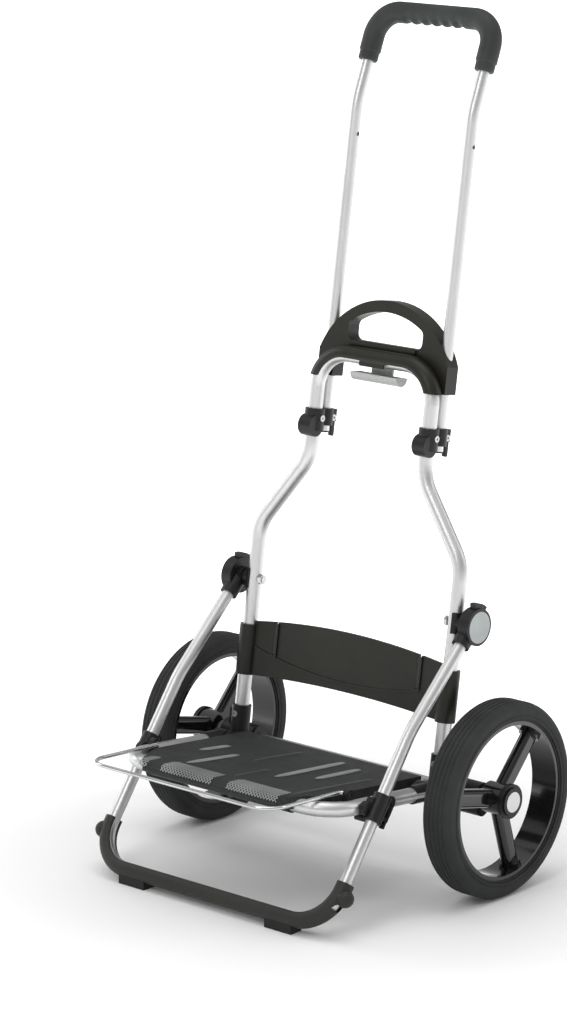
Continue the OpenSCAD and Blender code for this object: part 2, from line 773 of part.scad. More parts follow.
// Angle that the pocket is wider than the tab on each side, so that the pressed tab clears it
tab_margin = asin((tab_travel * sin(tab_half) + 0.4) / (tab_in - tab_travel));

module hinge_boss(side) color(black) in_place() on_side(side) difference() {
    union() {
        at_hinge() rod_x(hinge_boss_r, frame_x, boss_x1);
        at_frame(hinge_u - 13, 0, frame_x) cylinder(r = frame_r + 2.2, h = 26);
    }
    at_frame(hinge_u - 40, 0, frame_x) cylinder(r = frame_r + 0.05, h = 80);
    // The sleeve covers the outer half of the tube only
    at_frame(hinge_u) box([frame_x - 20, -20, -40], [frame_x + 2, 20, 40]);
    at_hinge() rod_x(bolt_r + run_gap, 0, wheel_x);
}

module hinge_boss_left() hinge_boss(-1);
module hinge_boss_right() hinge_boss(1);

module hinge_bolts() color(steel) in_place() both_sides() at_hinge() {
    rod_x(bolt_r, frame_x - frame_r - 6, ring_x1 - 8);
    rod_x(bolt_r * 1.6, ring_x1 - 8.5, ring_x1 - 4.5);
}

module hinge_nuts() color(steel) in_place() both_sides() at_hinge() difference() {
    rotate([0, 0, 0]) translate([frame_x - frame_r - 5, 0, 0]) rotate([0, 90, 0])
        cylinder(r = bolt_r * 1.7, h = 4.9, $fn = 6);
    rod_x(bolt_r, 0, frame_x);
}

// Frame along the legs' upper stretch: z runs down the leg from the hinge
module along_leg(x = 0) at_hinge(x) rotate([180 - leg_upper_slope, 0, 0]) children();

// Sector between two angles, measured in the YZ plane from +Y towards +Z
module sector(r, a0, a1, x0, x1) side_plate(x0, x1)
    polygon([[0, 0], [r * cos(a0), r * sin(a0)], [r * cos((a0 + a1) / 2) * 1.2, r * sin((a0 + a1) / 2) * 1.2],
        [r * cos(a1), r * sin(a1)]]);

module hinge_housing(side) color(black) in_place() on_side(side) difference() {
    union() {
        at_hinge() rod_x(12, house_x0, ring_x0 + 1);
        at_hinge() rod_x(ring_r, ring_x0, ring_x1);
        along_leg(leg_x) cylinder(r = leg_r + 3.5, h = socket_end);
    }
    // Seat of the cap, room for the bolt's head, the bolt's bore and the leg's socket
    at_hinge() rod_x(cap_d / 2 + 0.1, ring_x1 - 2.5, ring_x1 + 1);
    at_hinge() rod_x(bolt_r * 1.6 + 0.6, ring_x1 - 9, ring_x1 + 1);
    at_hinge() rod_x(bolt_r + run_gap, 0, ring_x1);
    along_leg(leg_x) translate([0, 0, leg_start]) cylinder(r = leg_r, h = 60);
    // Pocket of the release tab
    at_hinge() difference() {
        intersection() {
            rod_x(ring_r + 1, ring_x0 + 2, ring_x1 - 4);
            sector(60, tab_angle - tab_half - tab_margin, tab_angle + tab_half + tab_margin,
                ring_x0 + 2, ring_x1 - 4);
        }
        rod_x(tab_in - tab_travel - 0.6, ring_x0, ring_x1);
    }
}

module hinge_housing_left() hinge_housing(-1);
module hinge_housing_right() hinge_housing(1);

module hinge_cap(side) color(light_grey) in_place() on_side(side)
    at_hinge() rod_x(cap_d / 2, ring_x1 - 2.5, ring_x1 + 0.6);

module hinge_cap_left() hinge_cap(-1);
module hinge_cap_right() hinge_cap(1);

module hinge_tab(side) color(dark_grey) in_place() on_side(side) at_hinge() intersection() {
    difference() {
        rod_x(tab_out, ring_x0 + 2.4, ring_x1 - 4.4);
        rod_x(tab_in, ring_x0, ring_x1);
    }
    sector(60, tab_angle - tab_half, tab_angle + tab_half, ring_x0 + 2.4, ring_x1 - 4.4);
}

module hinge_tab_left() hinge_tab(-1);
module hinge_tab_right() hinge_tab(1);

// ---------------------------------------------------------------- leg frame

leg_upper_straight = leg_upper_len - leg_start - leg_tangent;
leg_lower_straight = leg_lower_len - leg_tangent - foot_corner_r;
leg_steps = [
    [leg_upper_straight, 0, 0], [leg_bend_r, leg_bend_angle, -90], [leg_lower_straight, 0, 0],
    [foot_corner_r, 90, 180], [leg_w - 2 * foot_corner_r, 0, 0], [foot_corner_r, 90, 180],
    [leg_lower_straight, 0, 0], [leg_bend_r, leg_bend_angle, -90], [leg_upper_straight, 0, 0]
];

module leg_frame() color(silver) in_place()
    along_leg(leg_x) translate([0, 0, leg_start]) tube(leg_steps, leg_r, tube_t);

foot_steps = [
    [6, 0, 0], [foot_corner_r, 90, 180], [leg_w - 2 * foot_corner_r, 0, 0],
    [foot_corner_r, 90, 180], [6, 0, 0]
];
module foot_rod(r) at_leg(foot_corner_r + 6, leg_x) rotate([180, 0, 0]) rotate([0, 0, 0])
    pipe(foot_steps, r);

module foot_shoe() color(dark_grey) in_place() difference() {
    union() {
        foot_rod(shoe_r);
        both_sides() at_leg(foot_corner_r - 12, leg_x + 5) {
            rod_x(knob_d / 2 - 1, 0, 8);
            translate([4, 0, 0]) sphere(r = knob_d / 2);
        }
    }
    foot_rod(leg_r + 0.05);
    // The channel is open along the inside of the foot frame
    at_leg(0) plate(-shoe_d, shoe_d) {
        half = leg_x - leg_r + 2;
        corner = foot_corner_r - leg_r + 2;
        translate([-half, foot_corner_r]) square([2 * half, 80]);
        translate([-half + corner, leg_r - 2]) square([2 * half - 2 * corner, 100]);
        for (side = [-1, 1]) translate([side * (half - corner), foot_corner_r]) circle(r = corner);
    }
    both_sides() at_leg(0, leg_x) translate([0, 0, foot_corner_r - 30]) cylinder(r = leg_r + 0.05, h = 80);
}

pad_x0 = 101;
pad_x1 = 144;
module foot_pads() color(black) in_place() both_sides() difference() {
    translate([0, foot_y_pos, 0]) box([pad_x0, -10, 0], [pad_x1, 10, foot_bar_z - 5]);
    foot_rod(shoe_r + 0.05);
}

// ---------------------------------------------------------------- leg clips

clip_sleeve_r = leg_r + 3.5;
clip_len = 36;
clip_in_x = platform_x + platform_r + 0.4;
peg_r = 4;

// Clip on the leg: a sleeve, a cheek beside the platform tube, a peg under the
// tube, a finger loop behind the leg and a small hook under the loop
module leg_clip(side) color(black) in_place() on_side(side) difference() {
    union() {
        at_leg(clip_t - clip_len / 2, leg_x) cylinder(r = clip_sleeve_r, h = clip_len);
        // Round cheek beside the platform tube
        at_platform(clip_s + 14, 1) rod_x(9, clip_in_x, leg_x - 2);
        at_leg(clip_t) box([clip_in_x, -14, -8], [leg_x, 0, 9]);
        // Peg that the platform tube rests on
        at_platform(clip_s + 8, -platform_r - peg_r - pass_gap) rod_x(peg_r, platform_x - 6, leg_x - 4);
        at_leg(clip_t) side_plate_loop();
    }
    at_leg(clip_t - 60, leg_x) cylinder(r = leg_r, h = 120);
    // Keeps the sleeve off the platform tube
    at_platform(0, 0) box([platform_x - 30, -clip_s - 60, -platform_r - pass_gap], [clip_in_x, -clip_s + 60, 40]);
    at_leg(clip_t - clip_len / 2 - 1) box([clip_in_x - 20, 2, 0], [clip_in_x, 40, clip_len + 2]);
}

// Finger loop and hook, behind the leg in the leg's own frame
module side_plate_loop() {
    side_plate(leg_x - 1, leg_x + 5) difference() {
        union() {
            translate([6, -9]) square([16, 24]);
            translate([14, 15]) circle(r = 8);
            translate([16, -9]) square([4, 6]);
            translate([17.5, -18]) square([3.5, 12]);
            translate([6, -9]) square([12, 4]);
        }
        translate([14, -3]) circle(r = 3.2);
        translate([14, 11]) circle(r = 4);
        translate([10.8, -3]) square([6.4, 12]);
    }
}

module leg_clip_left() leg_clip(-1);
module leg_clip_right() leg_clip(1);

// ---------------------------------------------------------------- platform

platform_start = 13;
knuckle_r = 12;
knuckle_len = 32;
knuckle_x0 = ear_x1 + pass_gap;
knuckle_x1 = pin_head_x - 2.5;
platform_steps = [
    [platform_len - platform_start - platform_corner_r, 0, 0], [platform_corner_r, 90, 180],
    [platform_w - 2 * platform_corner_r, 0, 0], [platform_corner_r, 90, 180],
    [platform_len - platform_start - platform_corner_r, 0, 0]
];

module platform_rod(r)
    at_platform(platform_start, 0, platform_x) rotate([90, 0, 0]) pipe(platform_steps, r);

module platform_tube() color(silver) in_place()
    at_platform(platform_start, 0, platform_x) rotate([90, 0, 0])
        tube(platform_steps, platform_r, tube_t);

module platform_knuckle(side) color(black) in_place() on_side(side) difference() {
    union() {
        at_platform(0) rod_x(knuckle_r, knuckle_x0, knuckle_x1);
        at_platform(0, 0, platform_x) rotate([90, 0, 0]) cylinder(r = platform_r + 2.2, h = knuckle_len);
    }
    at_platform(platform_start, 0, platform_x) rotate([90, 0, 0]) cylinder(r = platform_r, h = 60);
    at_platform(0) rod_x(pivot_pin_d / 2 + run_gap, 0, wheel_x);
    // Flat sides, clear of the bracket's ear and of the folding legs
    at_platform(0) box([0, -60, -30], [knuckle_x0, 30, 30]);
    at_platform(0) box([knuckle_x1, -60, -30], [wheel_x, 30, 30]);
}

module platform_knuckle_left() platform_knuckle(-1);
module platform_knuckle_right() platform_knuckle(1);

sleeve_half = deck_front_w / 2 + 5;
sleeve_r = platform_r + 2;
module front_sleeve() color(black) in_place() at_platform(platform_len) difference() {
    rod_x(sleeve_r, -sleeve_half, sleeve_half);
    rod_x(platform_r, -wheel_x, wheel_x);
    box([-wheel_x, -30, deck_rise - deck_wall - 0.3], [wheel_x, 30, 30]);
}

deck_wall = 3;
deck_front_s = platform_len + deck_nose;
deck_taper_s = deck_front_s - 61;
nose_r = 7.5;

// Outline of the deck in x and -s; "inset" shrinks it
module deck_outline(inset = 0) {
    half = deck_w / 2 - inset;
    front = deck_front_w / 2 - inset;
    polygon([
        [half, deck_tail - inset], [half, -deck_taper_s], [front + 12, -deck_front_s + 14 + inset],
        [front, -deck_front_s + inset], [-front, -deck_front_s + inset],
        [-front - 12, -deck_front_s + 14 + inset], [-half, -deck_taper_s], [-half, deck_tail - inset]
    ]);
}

module deck() color(dark_grey) in_place() difference() {
    at_platform(0) intersection() {
        translate([0, 0, deck_rise - deck_h]) linear_extrude(deck_h) deck_outline();
        // Rounded nose
        union() {
            box([-deck_w, -deck_front_s + nose_r, -30], [deck_w, 60, deck_rise]);
            translate([0, -deck_front_s + nose_r, deck_rise - nose_r]) rod_x(nose_r, -deck_w, deck_w);
            translate([0, -deck_front_s + nose_r, deck_rise - deck_h + nose_r])
                rod_x(nose_r, -deck_w, deck_w);
        }
    }
    at_platform(0, deck_rise - deck_h - 1)
        linear_extrude(deck_h - deck_wall + 1) deck_outline(deck_wall);
    platform_rod(platform_r + 0.1);
}

bracket_t = 3;
bracket_h = deck_rise - deck_h - bracket_t - 0.05;
corner_s = platform_len - platform_corner_r;
module deck_brackets() color(light_grey) in_place() both_sides() {
    // Front bracket, inside the corner of the tube
    difference() {
        at_platform(corner_s, bracket_h, platform_x - platform_corner_r) linear_extrude(bracket_t)
            polygon([[-16, -4], [26, -4], [42, -16], [20, -38], [-10, -26]]);
        at_platform(corner_s, 0, platform_x - platform_corner_r) rotate_extrude()
            translate([platform_corner_r, 0]) circle(r = platform_r);
    }
    // Rear bracket, beside the straight stretch
    difference() {
        at_platform(66, bracket_h) linear_extrude(bracket_t)
            translate([126, 0]) square([platform_x - 126 - platform_r * 0.4, 24]);
        at_platform(0, 0, platform_x) rod_y(platform_r, -100, 0);
    }
}

// ---------------------------------------------------------------- wire bail

wire_arm = wire_reach - wire_end_bend_r - wire_corner_r;
wire_steps = [
    [wire_grip, 0, 0], [wire_end_bend_r, 90, -90], [wire_arm, 0, 0], [wire_corner_r, 90, 90],
    [wire_w - 2 * wire_corner_r, 0, 0], [wire_corner_r, 90, 90], [wire_arm, 0, 0],
    [wire_end_bend_r, 90, -90], [wire_grip, 0, 0]
];

// Lugs on the side tubes that hold the bail's ends
module bail_lugs() color(black) in_place() both_sides() difference() {
    at_platform(wire_s) {
        lug_x0 = wire_x + wire_end_bend_r - 1;
        box([lug_x0, -lug_half, 0], [lug_x0 + lug_w, lug_half, wire_h]);
        translate([0, 0, wire_h]) rod_x(lug_half, lug_x0, lug_x0 + lug_w);
    }
    at_platform(wire_s - lug_half - 5, 0, platform_x) rod_y(platform_r + 0.1, -60, 60);
    at_platform(wire_s, wire_h) rod_x(wire_r + joint_lip + run_gap, 0, wheel_x);
}

module wire_bail() color(steel) in_place() at_platform(wire_s, wire_h) rotate([-wire_rise_angle, 0, 0])
    translate([wire_x + wire_end_bend_r + wire_grip, 0, 0]) rotate([0, -90, 0])
        pipe(wire_steps, wire_r);

// ---------------------------------------------------------------- handle

handle_steps = [
    [handle_straight, 0, 0], [handle_bend_r, handle_bend, 90], [handle_slant, 0, 0],
    [handle_corner_r, 90, 180], [handle_top_straight, 0, 0], [handle_corner_r, 90, 180],
    [handle_slant, 0, 0], [handle_bend_r, handle_bend, 90], [handle_straight, 0, 0]
];

module handle_tube() color(silver) in_place() difference() {
    at_frame(handle_base_u, handle_gap, upper_x) tube(handle_steps, handle_r, tube_t);
    for (u = [lock_u, lock_u + handle_travel])
        at_frame(u, handle_gap) rod_x(lock_pin_d / 2 + 0.1, -upper_x - handle_d, upper_x + handle_d);
}

// Frame at the top of the backward bend, z along the slanted stretch
module at_slant(x = 0) at_frame(handle_bend_u, handle_gap, x)
    translate([0, handle_bend_r * (1 - cos(handle_bend)), handle_bend_r * sin(handle_bend)])
        rotate([-handle_bend, 0, 0]) children();

grip_steps = [
    [grip_leg, 0, 0], [handle_corner_r, 90, 180], [handle_top_straight, 0, 0],
    [handle_corner_r, 90, 180], [grip_leg, 0, 0]
];
wave_n = 6;
wave_pitch = 15;

module handle_grip() color(dark_grey) in_place() at_slant() difference() {
    translate([upper_x, 0, handle_slant - grip_leg]) tube(grip_steps, grip_r, grip_r - handle_r - 0.05);
    // Finger waves along the underside
    for (i = [0 : wave_n - 1])
        translate([(i - (wave_n - 1) / 2) * wave_pitch, 0, handle_reach - grip_r - 6]) rod_y(8.2, -30, 30);
}

module handle_plugs() color(black) in_place() both_sides()
    at_frame(handle_base_u - 2, handle_gap, upper_x) {
        cylinder(r = handle_r, h = 2);
        cylinder(r = handle_r - tube_t, h = 14);
    }

// ---------------------------------------------------------------- wheels

bore_r = wheel_r - tyre_h;
rim_in_r = bore_r - rim_t;
hub_r = hub_d / 2;
shoulder_r = 11;
groove_n = 5;
groove_pitch = 6.4;
spoke_turn = 47;
hub_x0 = -12;
hub_x1 = 17;
cap_len = 9;
bush_r = axle_d / 2 + 4;

// Turned about X from a profile in x and radius
module turned() rotate([0, 90, 0]) rotate([0, 0, 90]) rotate_extrude($fn = 128) children();

module tyre_profile() {
    half = tyre_w / 2;
    difference() {
        union() {
            translate([bore_r, -half + 2]) square([tyre_h - shoulder_r, tyre_w - 4]);
            translate([bore_r + 3, -half]) square([tyre_h - shoulder_r - 3, tyre_w]);
            translate([bore_r, -half + shoulder_r]) square([tyre_h, tyre_w - 2 * shoulder_r]);
            for (side = [-1, 1])
                translate([wheel_r - shoulder_r, side * (half - shoulder_r)]) circle(r = shoulder_r);
        }
        for (i = [0 : groove_n - 1])
            translate([wheel_r + 0.4, (i - (groove_n - 1) / 2) * groove_pitch]) circle(r = 1.6);
        // Bead line on each sidewall
        for (side = [-1, 1]) translate([bore_r + 7, side * (half + 0.4)]) circle(r = 1.2);
    }
}

module tyre(side) color([0.16, 0.16, 0.17]) in_place() at_axle(side * wheel_x)
    turned() tyre_profile();

module tyre_left() tyre(-1);
module tyre_right() tyre(1);

// Cross-section of a spoke: a flat oval
module spoke_section() {
    square([spoke_t, spoke_w - spoke_t], center = true);
    for (side = [-1, 1]) translate([0, side * (spoke_w - spoke_t) / 2]) circle(r = spoke_t / 2);
}

module rim(side) color([0.04, 0.04, 0.045]) in_place() at_axle(side * wheel_x) on_side(side)
    difference() {
        union() {
            turned() {
                translate([rim_in_r, -tyre_w / 2 + 3]) square([rim_t - 0.05, tyre_w - 6]);
                translate([0, hub_x0]) square([hub_r, hub_x1 - hub_x0]);
            }
            // Spokes, each with a flared collar at the rim
            for (i = [0 : spokes - 1]) rotate([spoke_turn + i * 360 / spokes, 0, 0]) {
                translate([0, hub_r - 4, 0]) rotate([-90, 0, 0])
                    linear_extrude(rim_in_r - hub_r + 4 + rim_t / 2) spoke_section();
                translate([0, rim_in_r - 5, 0]) rotate([-90, 0, 0]) cylinder(r = spoke_w / 2 + 1.5, h = 7);
            }
        }
        rod_x(bush_r, -60, 60);
    }

module rim_left() rim(-1);
module rim_right() rim(1);

module hub_cap(side) color(black) in_place() at_axle(side * wheel_x) on_side(side) difference() {
    union() {
        rod_x(hub_r + 2, hub_x1, hub_x1 + cap_len - 3);
        rod_x(hub_r - 2, hub_x1, hub_x1 + cap_len);
    }
    rod_x(13.1, hub_x1 + cap_len - 1.6, 60);
    rod_x(axle_d / 2 + 2, 0, hub_x1 + 1);
}

module hub_cap_left() hub_cap(-1);
module hub_cap_right() hub_cap(1);

module hub_disc(side) color(light_grey) in_place() at_axle(side * wheel_x) on_side(side)
    rod_x(13, hub_x1 + cap_len - 1.6, hub_x1 + cap_len + 0.2);

module hub_disc_left() hub_disc(-1);
module hub_disc_right() hub_disc(1);

module wheel_bushes(side) color(steel) in_place() at_axle(side * wheel_x) on_side(side) difference() {
    for (x = [hub_x0, hub_x1 - 8]) rod_x(bush_r, x, x + 8);
    rod_x(axle_d / 2 + run_gap, -60, 60);
}

module wheel_bushes_left() wheel_bushes(-1);
module wheel_bushes_right() wheel_bushes(1);

// ---------------------------------------------------------------- nodes

main_frame();
carry_handle_front();
carry_handle_rear();
carry_bead();
saddle_cover();
carry_handle_screws();
lock_pin_left();
lock_pin_right();
release_bar();
hook_clip_left_inner();
hook_clip_left_outer();
hook_clip_right_inner();
hook_clip_right_outer();
hook_clip_screws();
back_panel();
panel_screws();
axle_bracket_left();
axle_bracket_right();
bracket_screws();
axle();
wheel_button_left();
wheel_button_right();
pivot_pins();
hinge_boss_left();
hinge_boss_right();
hinge_bolts();
hinge_nuts();
leg_frame();
foot_shoe();
foot_pads();
leg_clip_left();
leg_clip_right();
hinge_housing_left();
hinge_housing_right();
hinge_cap_left();
hinge_cap_right();
hinge_tab_left();
hinge_tab_right();
platform_tube();
platform_knuckle_left();
platform_knuckle_right();
front_sleeve();
deck();
deck_brackets();
bail_lugs();
wire_bail();
handle_tube();
handle_grip();
handle_plugs();
tyre_left();
tyre_right();
rim_left();
rim_right();
hub_cap_left();
hub_cap_right();
hub_disc_left();
hub_disc_right();
wheel_bushes_left();
wheel_bushes_right();
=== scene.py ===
"""Looks of the folding luggage cart: materials, fine detail, light and camera around the CAD frame."""

import json
import math

import bpy
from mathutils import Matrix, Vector


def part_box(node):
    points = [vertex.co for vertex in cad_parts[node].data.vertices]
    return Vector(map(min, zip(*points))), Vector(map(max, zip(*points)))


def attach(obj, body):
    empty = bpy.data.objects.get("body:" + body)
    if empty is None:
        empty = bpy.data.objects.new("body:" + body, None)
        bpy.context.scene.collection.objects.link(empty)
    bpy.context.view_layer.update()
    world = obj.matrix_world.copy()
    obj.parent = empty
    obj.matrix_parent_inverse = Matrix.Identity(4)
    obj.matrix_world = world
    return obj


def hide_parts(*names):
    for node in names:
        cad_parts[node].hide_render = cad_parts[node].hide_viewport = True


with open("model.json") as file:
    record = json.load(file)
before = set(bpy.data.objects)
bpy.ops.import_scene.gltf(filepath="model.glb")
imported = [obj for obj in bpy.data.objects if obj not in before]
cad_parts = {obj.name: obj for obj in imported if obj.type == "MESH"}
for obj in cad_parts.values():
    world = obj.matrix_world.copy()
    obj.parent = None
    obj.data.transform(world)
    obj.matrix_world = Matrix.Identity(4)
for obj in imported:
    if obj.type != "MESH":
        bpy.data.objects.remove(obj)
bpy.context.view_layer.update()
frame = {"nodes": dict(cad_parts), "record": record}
NODES = frame["nodes"]


# ---------------------------------------------------------------- camera

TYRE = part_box("tyre_right")
AXLE_Y = (TYRE[0][1] + TYRE[1][1]) / 2
CAMERA_FROM_AXLE = Vector((2.9497, -3.4813, 1.5465))
CAMERA_AZIMUTH = math.radians(41.37)
CAMERA_ELEVATION = math.radians(13.48)
SENSOR_MM = 36.0
FOCAL_MM = 130.6

camera_data = bpy.data.cameras.new("camera")
camera_data.sensor_fit = "AUTO"
camera_data.sensor_width = SENSOR_MM
camera_data.lens = FOCAL_MM
camera_data.clip_end = 50  # metres, past the floor's far edge
camera = bpy.data.objects.new("camera", camera_data)
bpy.context.scene.collection.objects.link(camera)
camera.location = CAMERA_FROM_AXLE + Vector((0, AXLE_Y, 0))
back = Vector((
    math.sin(CAMERA_AZIMUTH) * math.cos(CAMERA_ELEVATION),
    -math.cos(CAMERA_AZIMUTH) * math.cos(CAMERA_ELEVATION),
    math.sin(CAMERA_ELEVATION),
))
camera.rotation_euler = back.to_track_quat("Z", "Y").to_euler()
bpy.context.scene.camera = camera


# ---------------------------------------------------------------- materials

class Shader:
    """A small builder of node materials in object coordinates."""

    def __init__(self, name, rough, metallic=0.0, coat=0.0, specular=0.5):
        self.material = bpy.data.materials.new(name)
        self.material.use_nodes = True
        self.tree = self.material.node_tree
        self.bsdf = self.tree.nodes["Principled BSDF"]
        self.bsdf.inputs["Metallic"].default_value = metallic
        self.bsdf.inputs["Roughness"].default_value = rough
        self.bsdf.inputs["Coat Weight"].default_value = coat
        self.bsdf.inputs["Coat Roughness"].default_value = 0.08
        self.bsdf.inputs["Specular IOR Level"].default_value = specular
        self.coords = self.tree.nodes.new("ShaderNodeTexCoord").outputs["Object"]

    def node(self, kind, **values):
        made = self.tree.nodes.new(kind)
        for key, value in values.items():
            if hasattr(made, key) and not key[0].isupper():
                setattr(made, key, value)
            else:
                made.inputs[key.replace("_", " ")].default_value = value
        return made

    def link(self, a, b):
        self.tree.links.new(a, b)

    def stretched(self, scale):
        mapping = self.node("ShaderNodeMapping")
        mapping.inputs["Scale"].default_value = scale
        self.link(self.coords, mapping.inputs["Vector"])
        return mapping.outputs["Vector"]

    def noise(self, scale, detail=3.0, stretch=(1, 1, 1)):
        made = self.node("ShaderNodeTexNoise", Scale=scale, Detail=detail)
        self.link(self.stretched(stretch), made.inputs["Vector"])
        return made.outputs["Fac"]

    def ramp(self, source, low, high, a=0.3, b=0.7):
        made = self.tree.nodes.new("ShaderNodeValToRGB")
        made.color_ramp.elements[0].position = a
        made.color_ramp.elements[1].position = b
        made.color_ramp.elements[0].color = (*low, 1)
        made.color_ramp.elements[1].color = (*high, 1)
        self.link(source, made.inputs["Fac"])
        return made.outputs["Color"]

    def range(self, source, low, high):
        made = self.node("ShaderNodeMapRange")
        made.inputs["To Min"].default_value = low
        made.inputs["To Max"].default_value = high
        self.link(source, made.inputs["Value"])
        return made.outputs["Result"]

    def bump(self, source, strength, distance, before=None):
        made = self.node("ShaderNodeBump", Strength=strength, Distance=distance)
        self.link(source, made.inputs["Height"])
        if before:
            self.link(before, made.inputs["Normal"])
        return made.outputs["Normal"]

    def finish(self, colour=None, rough=None, normal=None):
        if colour:
            self.link(colour, self.bsdf.inputs["Base Color"])
        if rough:
            self.link(rough, self.bsdf.inputs["Roughness"])
        if normal:
            self.link(normal, self.bsdf.inputs["Normal"])
        return self.material


def shade(colour, factor):
    """The colour made lighter or darker, kept within white."""
    return tuple(min(1.0, c * factor) for c in colour)


def plastic(name, colour, rough=0.42, grain=0.25, coat=0.0, scale=900.0, specular=0.3):
    """Moulded plastic with a fine grain."""
    s = Shader(name, rough, coat=coat, specular=specular)
    cloud = s.noise(14, 4)
    fine = s.noise(scale, 2)
    return s.finish(
        s.ramp(cloud, shade(colour, 0.82), shade(colour, 1.18)),
        s.range(s.noise(60, 3), rough - 0.06, rough + 0.08),
        s.bump(fine, grain, 0.0003),
    )


def anodised(name, colour, rough=0.3):
    """Satin anodised aluminium, drawn along the tube."""
    s = Shader(name, rough, metallic=1.0)
    streak = s.noise(420, 3, (1, 1, 0.04))
    cloud = s.noise(9, 3)
    return s.finish(
        s.ramp(cloud, shade(colour, 0.95), shade(colour, 1.03)),
        s.range(streak, rough - 0.05, rough + 0.08),
        s.bump(streak, 0.06, 0.0002),
    )


def steel(name, colour, rough=0.2):
    """Plated or plain steel with faint scratches."""
    s = Shader(name, rough, metallic=1.0)
    scratch = s.noise(600, 2, (1, 0.2, 1))
    return s.finish(
        s.ramp(s.noise(25, 3), shade(colour, 0.9), shade(colour, 1.05)),
        s.range(scratch, rough - 0.06, rough + 0.1),
        s.bump(scratch, 0.05, 0.0001),
    )


def speckled(name, colour):
    """Light plastic with fine dark specks."""
    s = Shader(name, 0.4)
    dots = s.noise(2600, 1)
    return s.finish(
        s.ramp(dots, shade(colour, 0.72), shade(colour, 1.06), 0.42, 0.52),
        s.range(s.noise(80, 2), 0.34, 0.46),
        s.bump(dots, 0.12, 0.0002),
    )


def rubber(name, colour, rough=0.72, grain=0.4, scale=700.0):
    """Dull rubber with a little dust."""
    s = Shader(name, rough, specular=0.25)
    fine = s.noise(scale, 4)
    dust = s.noise(22, 5)
    return s.finish(
        s.ramp(dust, shade(colour, 0.8), shade(colour, 1.25)),
        s.range(s.noise(50, 3), rough - 0.08, rough + 0.08),
        s.bump(fine, grain, 0.0004),
    )


def woven(name, colour, pitch):
    """Fine basket weave across the deck, with lighter threads."""
    s = Shader(name, 0.62, specular=0.25)
    threads = []
    for axis in ("X", "Y"):
        wave = s.node("ShaderNodeTexWave", wave_type="BANDS", bands_direction=axis,
                      Scale=1.0 / (2 * pitch), Distortion=0.0)
        s.link(s.coords, wave.inputs["Vector"])
        threads.append(wave.outputs["Fac"])
    mixed = s.node("ShaderNodeMath", operation="MULTIPLY")
    s.link(threads[0], mixed.inputs[0])
    s.link(threads[1], mixed.inputs[1])
    weave = mixed.outputs[0]
    return s.finish(
        s.ramp(weave, shade(colour, 0.6), shade(colour, 1.5), 0.1, 0.8),
        s.range(s.noise(40, 3), 0.52, 0.7),
        s.bump(s.noise(500, 2), 0.3, 0.0003, s.bump(weave, 0.6, 0.0005)),
    )


MATERIALS = {
    "anodised_tube": anodised("anodised_tube", (0.58, 0.585, 0.58), 0.4),
    "olive_plastic": plastic("olive_plastic", (0.011, 0.0105, 0.007), 0.4),
    "black_plastic": plastic("black_plastic", (0.008, 0.008, 0.0082), 0.42),
    "grey_plastic": plastic("grey_plastic", (0.024, 0.024, 0.021), 0.5, 0.35),
    "light_grey_plastic": speckled("light_grey_plastic", (0.4, 0.41, 0.4)),
    "soft_grip": rubber("soft_grip", (0.028, 0.031, 0.031), 0.55, 0.3, 1200),
    "deck_mesh": woven("deck_mesh", (0.024, 0.026, 0.025), 0.0016),
    "tyre_rubber": rubber("tyre_rubber", (0.024, 0.025, 0.025)),
    "rim_gloss": plastic("rim_gloss", (0.006, 0.006, 0.007), 0.14, 0.02, 0.6, 200),
    "bright_steel": steel("bright_steel", (0.58, 0.59, 0.6), 0.16),
    "steel": steel("steel", (0.45, 0.46, 0.47), 0.28),
    "cap_grey": plastic("cap_grey", (0.4, 0.43, 0.43), 0.34, 0.1),
}
# Light grey of the deck's streak threads and front mesh strands: painted highlight on black plastic
MESH_PAINTED_HIGHLIGHT = plastic("mesh_painted_highlight", (0.3, 0.315, 0.31), 0.5, 0.3)
# Grey of the deck's raised ribs: painted highlight on ribs of black plastic
RIB_PAINTED_HIGHLIGHT = plastic("rib_painted_highlight", (0.05, 0.054, 0.052), 0.5, 0.35)


def paint(obj, material):
    obj.data.materials.clear()
    obj.data.materials.append(material)


SLOT_OF = {part["node"]: part["material_slot"] for part in frame["record"]["subparts"]}
for node_name, node in NODES.items():
    paint(node, MATERIALS[SLOT_OF[node_name]])


# ---------------------------------------------------------------- rounded edges on moulded nodes

def soften(name, width, segments=2, angle=40):
    bevel = NODES[name].modifiers.new("edge", "BEVEL")
    bevel.width = width
    bevel.segments = segments
    bevel.limit_method = "ANGLE"
    bevel.angle_limit = math.radians(angle)
    bevel.use_clamp_overlap = True
    bevel.harden_normals = False


ROUNDED = {
    0.0012: ("carry_handle_front", "carry_handle_rear", "back_panel", "release_bar"),
    0.0008: ("saddle_cover", "axle_bracket_left", "axle_bracket_right", "hinge_housing_left",
             "hinge_housing_right", "leg_clip_left", "leg_clip_right", "deck", "foot_pads"),
    0.0006: ("hook_clip_left_inner", "hook_clip_left_outer", "hook_clip_right_inner",
             "hook_clip_right_outer", "hinge_cap_left", "hinge_cap_right", "hinge_tab_left",
             "hinge_tab_right", "hub_cap_left", "hub_cap_right", "hub_disc_left", "hub_disc_right"),
}
for width, names in ROUNDED.items():
    for name in names:
        soften(name, width)


# ---------------------------------------------------------------- mesh helpers

def add_mesh(name, verts, faces, material, body, smooth=True):
    mesh = bpy.data.meshes.new(name)
    mesh.from_pydata([tuple(v) for v in verts], [], faces)
    mesh.validate()
    mesh.update()
    if smooth:
        for polygon in mesh.polygons:
            polygon.use_smooth = True
    obj = bpy.data.objects.new(name, mesh)
    bpy.context.scene.collection.objects.link(obj)
    obj.data.materials.append(material)
    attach(obj, body)
    return obj


